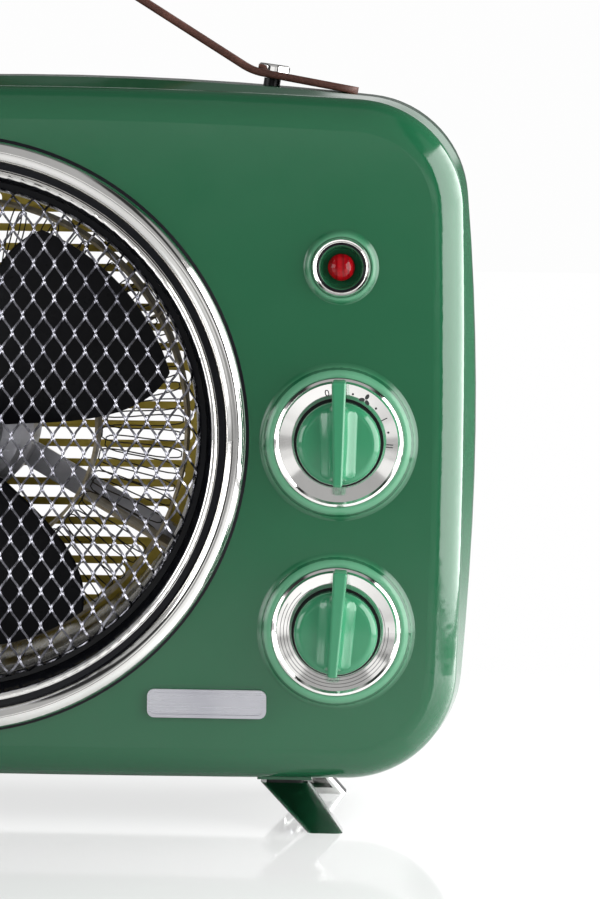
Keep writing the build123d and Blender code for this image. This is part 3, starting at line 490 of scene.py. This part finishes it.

# Painted shade: a black hoop in the gap under each knob, where its shadow falls
KNOB_GAP_SHADE = [(12.6, 2.02), (14.95, 2.02), (14.95, 2.3), (12.6, 2.3)]
hoop("selector_gap_shade", on_face(KNOB_GAP_SHADE), "black_plastic", CONTROL_X, SELECTOR_Z)
hoop("thermostat_gap_shade", on_face(KNOB_GAP_SHADE), "black_plastic", CONTROL_X, THERMOSTAT_Z)

# Pilot lamp: green cup round the lens, with a fine dark ring and a fine plated ring at its mouth
LAMP_CUP = [(4.5, -1.9), (5.5, -1.8), (6.2, -1.0), (6.7, 0.5), (7.1, 1.8), (7.4, 2.4)]
LAMP_CUP += [(7.5, 2.2), (6.2, -2.05), (4.5, -2.1)]
LAMP_RINGS = ((7.8, 0.36, 2.4, "black_collar"), (8.5, 0.2, 2.85, "chrome_trim"))
LAMP_RING_SIDES, LAMP_RING_STEPS = 8, 96
hoop("lamp_cup", on_face(LAMP_CUP), "green_casing", CONTROL_X, LAMP_Z, smooth=True)
for order, (radius, minor, ahead, ring_paint) in enumerate(LAMP_RINGS):
    section = []
    for step in range(LAMP_RING_SIDES):
        turn = 2 * math.pi * step / LAMP_RING_SIDES
        section.append((radius + minor * math.cos(turn), FACE + ahead + minor * math.sin(turn)))
    name = f"lamp_ring_{order}"
    hoop(name, section, "chrome_trim", CONTROL_X, LAMP_Z, LAMP_RING_STEPS, ring_paint, smooth=True)

# Heating wires: rounded zigzags in two layers, with loops at the inner bends
WIRE_TURNS, WIRE_STEPS, WIRE_RADIUS = 40, 22, 0.24
WIRE_INNER, WIRE_OUTER = 48.6, 76.6
WIRE_SWING, WIRE_SQUARENESS, WIRE_EASE = 0.30, 1.18, 0.8
RIPPLE_DEPTH, RIPPLE_RATE = 0.35, 0.37


def heating_wire(name, ahead, lead, replaced):
    points = []
    for index in range(WIRE_TURNS * WIRE_STEPS):
        phase = index / WIRE_STEPS
        wave = math.sin(2 * math.pi * phase)
        reach = 0.5 + 0.5 * math.copysign(min(1.0, abs(WIRE_SQUARENESS * wave)) ** WIRE_EASE, wave)
        swing = WIRE_SWING * math.cos(2 * math.pi * phase) * (1 - reach) ** 2
        turn = math.radians(360 / WIRE_TURNS * (phase + swing) + lead)
        radius = WIRE_INNER + (WIRE_OUTER - WIRE_INNER) * reach
        ripple = RIPPLE_DEPTH * math.sin(2 * math.pi * index * RIPPLE_RATE)
        x, z = RING_X + radius * math.cos(turn), RING_Z + radius * math.sin(turn)
        points.append(Vector((x * MM, -(ahead + ripple) * MM, z * MM)))
    tube(name, points, WIRE_RADIUS * MM, "element_alloy", closed=True, replaces=(replaced,))


heating_wire("heating_wire_front", 0.8, 0.0, "heater_ribbon_front")
heating_wire("heating_wire_rear", -24.9, 3.0, "heater_ribbon_rear")

# Leather strap: one bent piece with rounded edges and rounded tails
STRAP_END_X, STRAP_END_DROP, STRAP_FLAT = 108.6, 5.2, 3.2
STRAP_BEND, STRAP_BEND_RADIUS, STRAP_CROWN_X = 21.8, 20.0, 29.7
STRAP_TAIL_STEPS, STRAP_BEND_STEPS, STRAP_SLOPE_STEPS, STRAP_CROWN_STEPS = 18, 10, 16, 40
STRAP_CORNER, STRAP_CORNER_STEPS, STRAP_BULGE = 0.95, 4, 0.05
TAIL_ROUND, TAIL_END_WIDTH, TAIL_WIDENING = 7.0, 0.45, 0.55


def strap_line():
    """Half of the strap's middle line, from its tail to its crown, with the way that it runs."""
    fall = STRAP_END_DROP / (STRAP_END_X - STUD_X)
    heading = math.pi - math.atan(fall)
    x, z = STRAP_END_X, STUD_Z - STRAP_END_DROP
    points = [(x, z, heading)]
    straight = (STRAP_END_X - STUD_X + STRAP_FLAT) / math.cos(math.atan(fall))

    def run(length, turn, count):
        nonlocal x, z, heading
        for _ in range(count):
            heading += turn / count / 2
            x += length / count * math.cos(heading)
            z += length / count * math.sin(heading)
            heading += turn / count / 2
            points.append((x, z, heading))

    run(straight, 0.0, STRAP_TAIL_STEPS)
    run(STRAP_BEND_RADIUS * math.radians(STRAP_BEND), -math.radians(STRAP_BEND), STRAP_BEND_STEPS)
    crown_turn = math.atan(fall) + math.radians(STRAP_BEND)
    run((x - STRAP_CROWN_X) / math.cos(crown_turn), 0.0, STRAP_SLOPE_STEPS)
    run(x / math.sin(crown_turn) * crown_turn, crown_turn, STRAP_CROWN_STEPS)
    return points


def strap_section():
    """The strap's section: four rounded corners and two slightly bulged sides."""
    section = []
    half_width, half_thick = STRAP_WIDTH / 2, STRAP_THICKNESS / 2 - STRAP_BULGE
    for middle_y, middle_n, first in ((1, 1, 0), (-1, 1, 90), (-1, -1, 180), (1, -1, 270)):
        for step in range(STRAP_CORNER_STEPS + 1):
            turn = math.radians(first + 90 * step / STRAP_CORNER_STEPS)
            across = middle_y * (half_width - STRAP_CORNER) + STRAP_CORNER * math.cos(turn)
            out = middle_n * (half_thick - STRAP_CORNER) + STRAP_CORNER * math.sin(turn)
            section.append((across, out))
        if first in (0, 180):
            for share in (0.5, 0.0, -0.5):
                across = middle_y * share * (half_width - STRAP_CORNER)
                section.append((across, middle_n * (half_thick + STRAP_BULGE)))
    return section


def strap_mesh():
    half = strap_line()
    line = half + [(-x, z, 2 * math.pi - heading) for x, z, heading in reversed(half[:-1])]
    lengths = [0.0]
    for before, after in zip(line, line[1:]):
        lengths.append(lengths[-1] + math.hypot(after[0] - before[0], after[1] - before[1]))
    section = strap_section()
    verts = []
    for (x, z, heading), length in zip(line, lengths):
        from_end = min(length, lengths[-1] - length)
        narrow = 1.0
        if from_end < TAIL_ROUND:
            narrow = TAIL_END_WIDTH + TAIL_WIDENING * math.sqrt(1 - (1 - from_end / TAIL_ROUND) ** 2)
        normal = (math.cos(heading - math.pi / 2), math.sin(heading - math.pi / 2))
        for across, out in section:
            place = (x + normal[0] * out, STRAP_Y + across * narrow, z + normal[1] * out)
            verts.append(tuple(v * MM for v in place))
    return mesh_of("leather_strap", verts, ring_faces(len(line), len(section)))


piece("leather_strap", strap_mesh(), "brown_leather", replaces=("strap_handle",))

# Hollow shoulders beside each knob's grip ridge, as (out from the ridge, rise above the knob's top)
SHOULDER = ((-0.4, 5.2), (0.1, 4.2), (0.45, 3.1), (1.0, 2.05), (1.9, 1.1), (3.0, 0.42), (4.2, 0.05))
SHOULDER_FOOT = ((4.2, -0.6), (-0.4, -0.6))
SHOULDER_HALF_LENGTH, SHOULDER_STATIONS = 13.0, 28
FADE_RATE, FADE_LEAST, FADE_RISE = 6, 0.15, 0.85
RIDGE_HALF_WIDTH, RIDGE_WIDENING, RIDGE_LOW_END, RIDGE_LENGTH = 1.6, 0.8, 13.8, 35.1
KNOB_TOP_RADIUS, KNOB_TOP, KNOB_TOP_FALL = 11.0, 10.2, 0.6
KNOB_RIM, KNOB_RIM_FALL, KNOB_RIM_WIDTH = 9.6, 2.6, 3.0


def knob_height(radius):
    """How far a knob's top stands ahead of the face at a distance from its middle."""
    if radius < KNOB_TOP_RADIUS:
        return KNOB_TOP - KNOB_TOP_FALL * radius / KNOB_TOP_RADIUS
    return KNOB_RIM - KNOB_RIM_FALL * min((radius - KNOB_TOP_RADIUS) / KNOB_RIM_WIDTH, 1.0) ** 2


def shoulder(name, z, turn, side, body):
    verts = []
    for station in range(SHOULDER_STATIONS + 1):
        share = station / SHOULDER_STATIONS * 2 - 1
        up = SHOULDER_HALF_LENGTH * share
        ridge = RIDGE_HALF_WIDTH + (up + RIDGE_LOW_END) / RIDGE_LENGTH * RIDGE_WIDENING
        fade = min(1.0, (1 - abs(share)) * FADE_RATE)
        fade = FADE_LEAST + FADE_RISE * fade * fade * (3 - 2 * fade)
        ring = [(ridge + out * fade, rise * fade) for out, rise in SHOULDER]
        (foot_out, foot_depth), (root_out, root_depth) = SHOULDER_FOOT
        ring += [(ridge + foot_out * fade, foot_depth), (ridge + root_out, root_depth)]
        for out, rise in ring:
            ahead = rise + knob_height(math.hypot(out, up))
            x = side * out * math.cos(turn) + up * math.sin(turn)
            height = up * math.cos(turn) - side * out * math.sin(turn)
            verts.append(((CONTROL_X + x) * MM, -(FACE + ahead) * MM, (z + height) * MM))
    size = len(SHOULDER) + len(SHOULDER_FOOT)
    piece(name, mesh_of(name, verts, ring_faces(SHOULDER_STATIONS + 1, size)), "green_knob", body)


for side_name, side in (("left", -1), ("right", 1)):
    shoulder(f"selector_shoulder_{side_name}", SELECTOR_Z, 0.0, side, "selector")
    thermostat_turn = math.radians(THERMOSTAT_TURN)
    shoulder(f"thermostat_shoulder_{side_name}", THERMOSTAT_Z, thermostat_turn, side, "thermostat")

# Marks on the selector's dial, at clock angles in degrees
DIAL_SURFACE, DIAL_TILT, MARK_RADIUS = FACE + 2.5, 10.5, 17.2
DIAL_LETTERS = (("mark_zero", "0", 3.3, -14), ("mark_one", "I", 3.4, 62), ("mark_two", "II", 3.4, 93))
DOT_ANGLES, DOT_RADIUS = (15.5, 46.5, 77.5), 0.38
FAN_ANGLE, LEAF_TURNS, LEAF_RADII, LEAF_MIDDLE = 31, (1.57, 3.67, 5.76), (1.0, 0.62), 1.15
LETTER_HEIGHT, MARK_HEIGHT, MARK_ROOT = 0.04, 0.08, -0.05


def on_dial(clock_angle):
    """Frame on the selector's dial: x along the clock, y outward, z out of the dial."""
    turn = math.radians(clock_angle)
    outward = Vector((math.sin(turn), 0, math.cos(turn)))
    along = Vector((math.cos(turn), 0, -math.sin(turn)))
    normal = Vector((0, -1, 0))
    lean = Matrix.Rotation(math.radians(DIAL_TILT), 3, along)
    outward, normal = lean @ outward, lean @ normal
    place = Matrix((along, outward, normal)).transposed().to_4x4()
    middle = Vector((CONTROL_X, -DIAL_SURFACE, SELECTOR_Z)) * MM
    place.translation = middle + Vector((outward.x, 0, outward.z)) * MARK_RADIUS * MM
    return place


def mark_text(name, text, size, place):
    curve = bpy.data.curves.new(name, "FONT")
    curve.body = text
    curve.size = size * MM
    curve.extrude = LETTER_HEIGHT * MM
    curve.align_x = "CENTER"
    curve.align_y = "CENTER"
    holder = bpy.data.objects.new(name + "_curve", curve)
    bpy.context.scene.collection.objects.link(holder)
    bpy.context.view_layer.update()
    mesh = bpy.data.meshes.new_from_object(holder)
    bpy.data.objects.remove(holder)
    mesh.transform(place)
    mesh.materials.clear()
    piece(name, mesh, "chrome_trim", paint="dial_print", smooth=False)


def oval(radius_x, radius_y, centre=(0, 0), turn=0.0):
    points = []
    count = 20
    for index in range(count):
        angle = 2 * math.pi * index / count
        x, y = radius_x * math.cos(angle), radius_y * math.sin(angle)
        along = centre[0] + x * math.cos(turn) - y * math.sin(turn)
        outward = centre[1] + x * math.sin(turn) + y * math.cos(turn)
        points.append((along, outward))
    return points


def raised(name, outlines, place, height=MARK_HEIGHT, slot="chrome_trim", paint="dial_print"):
    """Flat marks with a little height, from closed outlines in millimetres."""
    verts, faces = [], []
    for outline in outlines:
        count = len(outline)
        start = len(verts)
        for level in (MARK_ROOT, height):
            verts.extend(place @ Vector((x * MM, y * MM, level * MM)) for x, y in outline)
        faces.append(tuple(range(start + count, start + 2 * count)))
        for index in range(count):
            after = (index + 1) % count
            faces.append((start + index, start + after, start + count + after, start + count + index))
    piece(name, mesh_of(name, verts, faces), slot, paint=paint, smooth=False)


for name, text, size, angle in DIAL_LETTERS:
    mark_text(name, text, size, on_dial(angle))
for order, angle in enumerate(DOT_ANGLES):
    raised(f"mark_dot_{order}", [oval(DOT_RADIUS, DOT_RADIUS)], on_dial(angle))
fan_leaves = []
for turn in LEAF_TURNS:
    middle = (LEAF_MIDDLE * math.cos(turn), LEAF_MIDDLE * math.sin(turn))
    fan_leaves.append(oval(*LEAF_RADII, middle, turn))
raised("mark_fan", fan_leaves, on_dial(FAN_ANGLE))

# Scale on the thermostat's dial: arcs given by radius, first and last clock angle
SCALE_ARCS = ((15.4, 40, 338), (16.5, 60, 330), (17.6, 84, 318), (18.7, 112, 300))
SCALE_STEPS, SCALE_THICKNESS, SCALE_LIFT = 72, 0.09, 0.02
DIAL_FOOT_RADIUS, DIAL_FOOT = 14.5, FACE + 2.0


def scale_arc(name, radius, first, last):
    points = []
    ahead = DIAL_FOOT + (radius - DIAL_FOOT_RADIUS) * math.tan(math.radians(DIAL_TILT))
    for index in range(SCALE_STEPS + 1):
        turn = math.radians(first + (last - first) * index / SCALE_STEPS)
        x, z = CONTROL_X + radius * math.sin(turn), THERMOSTAT_Z + radius * math.cos(turn)
        points.append(Vector((x, -ahead - SCALE_LIFT, z)) * MM)
    tube(name, points, SCALE_THICKNESS * MM, "chrome_trim", sides=4, paint="dial_print")


for order, (radius, first, last) in enumerate(SCALE_ARCS):
    scale_arc(f"scale_arc_{order}", radius, first, last)

# Brushed field of the small plate, sunk inside its bright rim
FIELD_HALF_WIDTH, FIELD_HALF_HEIGHT, FIELD_HEIGHT = 18.7, 3.6, 0.18
FIELD_CORNER, FIELD_CORNER_STEPS = 1.5, 6
field_outline = []
for corner_x, corner_z, first in ((1, 1, 0), (-1, 1, 90), (-1, -1, 180), (1, -1, 270)):
    for step in range(FIELD_CORNER_STEPS + 1):
        turn = math.radians(first + 90 * step / FIELD_CORNER_STEPS)
        x = corner_x * (FIELD_HALF_WIDTH - FIELD_CORNER) + FIELD_CORNER * math.cos(turn)
        z = corner_z * (FIELD_HALF_HEIGHT - FIELD_CORNER) + FIELD_CORNER * math.sin(turn)
        field_outline.append((x, z))
plate_middle = Matrix.Translation(Vector((PLATE_X, -(FACE + PLATE_TOP), PLATE_Z)) * MM)
field_place = plate_middle @ Matrix.Rotation(math.pi / 2, 4, "X")
raised("plate_field", [field_outline], field_place, FIELD_HEIGHT, "satin_plate", "satin_plate")

# Cross recesses in the heads of the screws at the back, drawn as thin black crosses on the heads: painted
# shade for the recesses
SCREW_X, SCREW_HEIGHTS, SCREW_HEAD = 112.0, (50.0, 212.0), 60.6
CROSS_ARM, CROSS_REACH, CROSS_TURN, CROSS_HEIGHT = 0.34, 1.35, 20, 0.04
cross_outline = []
for quarter in range(4):
    turn = math.radians(90 * quarter + CROSS_TURN)
    for x, y in ((CROSS_ARM, CROSS_ARM), (CROSS_REACH, CROSS_ARM), (CROSS_REACH, -CROSS_ARM)):
        turned_x = x * math.cos(turn) - y * math.sin(turn)
        turned_y = x * math.sin(turn) + y * math.cos(turn)
        cross_outline.append((turned_x, turned_y))
cross_outline.reverse()
screw_places = [(x, z) for x in (-SCREW_X, SCREW_X) for z in SCREW_HEIGHTS]
for order, (x, z) in enumerate(screw_places):
    head = Matrix.Translation(Vector((x, SCREW_HEAD, z)) * MM)
    place = head @ Matrix.Rotation(-math.pi / 2, 4, "X")
    raised(f"screw_recess_shade_{order}", [cross_outline], place, CROSS_HEIGHT, "zinc_screws", "black_plastic")


# Studio, in metres
def stage_plane(name, size_x, size_y, place, turn, material):
    half_x, half_y = size_x / 2, size_y / 2
    verts = [(-half_x, -half_y, 0), (half_x, -half_y, 0), (half_x, half_y, 0), (-half_x, half_y, 0)]
    made = bpy.data.objects.new(name, mesh_of(name, verts, [(0, 1, 2, 3)]))
    bpy.context.scene.collection.objects.link(made)
    made.location = place
    made.rotation_euler = turn
    made.data.materials.append(material)
    return made


def floor_material(name, base, near, far):
    """Pale polished floor that lights up by itself, for the camera only, away from the part."""
    paint = Paint(name, Roughness=0.07, IOR=1.5, Coat_Weight=0.5, Coat_Roughness=0.05)
    paint.shader.inputs["Base Color"].default_value = grey(base)
    length = paint.node("ShaderNodeVectorMath", {0: paint.coords}, operation="LENGTH").outputs["Value"]
    away = paint.ramp(length, [near, far], "EASE")
    glow = paint.math("MULTIPLY", away, paint.node("ShaderNodeLightPath").outputs["Is Camera Ray"])
    white = paint.node("ShaderNodeEmission", {"Color": grey(1.0), "Strength": 1.0}).outputs[0]
    mixed = paint.node("ShaderNodeMixShader", {0: glow, 1: paint.shader.outputs[0], 2: white})
    paint.surface(mixed.outputs[0])
    return paint.material


def card_material(name, strength):
    paint = Paint(name)
    paint.surface(paint.node("ShaderNodeEmission", {"Color": grey(strength), "Strength": 1.0}).outputs[0])
    return paint.material


FLOOR_SIZE, FLOOR_BASE = 9.0, 0.92
FLOOR_NEAR, FLOOR_FAR = (0.16, 0.42), (0.48, 1.0)
floor = floor_material("studio_floor", FLOOR_BASE, FLOOR_NEAR, FLOOR_FAR)
stage_plane("studio_floor", FLOOR_SIZE, FLOOR_SIZE, (0, 0, 0), (0, 0, 0), floor)

CARD_X, CARD_Y = -0.05, -2.6


def card(name, width, height, middle_z, strength):
    """Studio card in front of the part that only reflections see."""
    way = Vector((0, -CARD_Y, 0)).normalized()
    turn = way.to_track_quat("Z", "Y").to_euler()
    made = stage_plane(name, width, height, (CARD_X, CARD_Y, middle_z), turn, card_material(name, strength))
    made.visible_camera = False
    made.visible_diffuse = False
    made.visible_shadow = False


card("front_card", 1.5, 0.9, middle_z=-0.254, strength=0.34)
card("upper_card", 2.2, 0.26, middle_z=0.326, strength=1.1)


def softbox(name, size_x, size_y, place, target, radiance):
    lamp = bpy.data.lights.new(name, "AREA")
    lamp.shape = "RECTANGLE"
    lamp.size, lamp.size_y = size_x, size_y
    lamp.energy = radiance * math.pi * size_x * size_y
    holder = bpy.data.objects.new(name, lamp)
    bpy.context.scene.collection.objects.link(holder)
    holder.location = place
    way = Vector(target) - Vector(place)
    holder.rotation_euler = way.to_track_quat("-Z", "Y").to_euler()
    holder.visible_camera = False
    return holder


top_lamp = softbox("softbox_top", 2.0, 1.1, place=(-0.1, -1.75, 0.98), target=(0, -1, 0.75), radiance=1.5)
top_lamp.visible_glossy = False
softbox("softbox_right", 1.02, 0.50, place=(0.52, -0.075, 0.265), target=(0, -0.075, 0.265), radiance=6.3)
softbox("softbox_left", 0.9, 0.50, place=(-1.0, -0.45, 0.33), target=(0, -0.1, 0.2), radiance=4.0)

# What reflections see: a white room with two dark gaps beside the camera, a greyer ceiling, and a dark rear
# with one white band; each place is 0 at one end of its axis and 1 at the other
DARK_GAPS = [(0.15, 0.92), (0.18, 0.07), (0.27, 0.07), (0.31, 0.95)]
DARK_GAPS += [(0.69, 0.95), (0.73, 0.07), (0.80, 0.07), (0.83, 0.92)]
CEILING = [(0.505, 0.95), (0.535, 0.50)]
REAR_BAND = [(0.545, 0.14), (0.56, 0.98), (0.62, 0.98), (0.64, 0.14)]
FRONT_TO_REAR = [(0.47, 0.0), (0.53, 1.0)]
FILL_LEVEL, BACKGROUND_LEVEL = 0.36, 0.985
world = bpy.data.worlds.new("studio")
bpy.context.scene.world = world
world.use_nodes = True
room = Nodes(world.node_tree)
way = room.axes(room.node("ShaderNodeTexCoord").outputs["Generated"])
across, back, up = (room.math("MULTIPLY_ADD", way[axis], 0.5, 0.5) for axis in "XYZ")
front_wall = room.blend(1.0, room.ramp(across, DARK_GAPS), room.ramp(up, CEILING), "MULTIPLY")
walls = room.blend(room.ramp(back, FRONT_TO_REAR), front_wall, room.ramp(up, REAR_BAND))
path = room.node("ShaderNodeLightPath").outputs
shiny = room.math("MAXIMUM", path["Is Glossy Ray"], path["Is Transmission Ray"])
lit = room.blend(shiny, grey(FILL_LEVEL), walls)
seen = room.blend(path["Is Camera Ray"], lit, grey(BACKGROUND_LEVEL))
background = room.tree.nodes["Background"]
room.tree.links.new(seen, background.inputs["Color"])
background.inputs["Strength"].default_value = 1.0

# Camera, from where the photograph was taken; focal length and sight in pixels of the photograph
PHOTO_HEIGHT, FOCAL_LENGTH, SENSOR = 899, 4500, 36.0
CAMERA_PLACE, CAMERA_ROLL = (0.125, -1.5475, 0.253), 0.8
SIGHT_RIGHT, SIGHT_UP = -100, -369.5
lens = bpy.data.cameras.new("camera")
lens.sensor_width = SENSOR
lens.lens = FOCAL_LENGTH / PHOTO_HEIGHT * SENSOR
lens.clip_start = 0.05
camera = bpy.data.objects.new("camera", lens)
bpy.context.scene.collection.objects.link(camera)
camera.location = CAMERA_PLACE
sight = Vector((SIGHT_RIGHT / FOCAL_LENGTH, 1.0, SIGHT_UP / FOCAL_LENGTH)).normalized()
aim = sight.to_track_quat("-Z", "Y").to_matrix().to_4x4()
roll = Matrix.Rotation(math.radians(CAMERA_ROLL), 4, "Z")
camera.rotation_euler = (aim @ roll).to_euler()
bpy.context.scene.camera = camera
bpy.context.scene.view_settings.view_transform = "Standard"
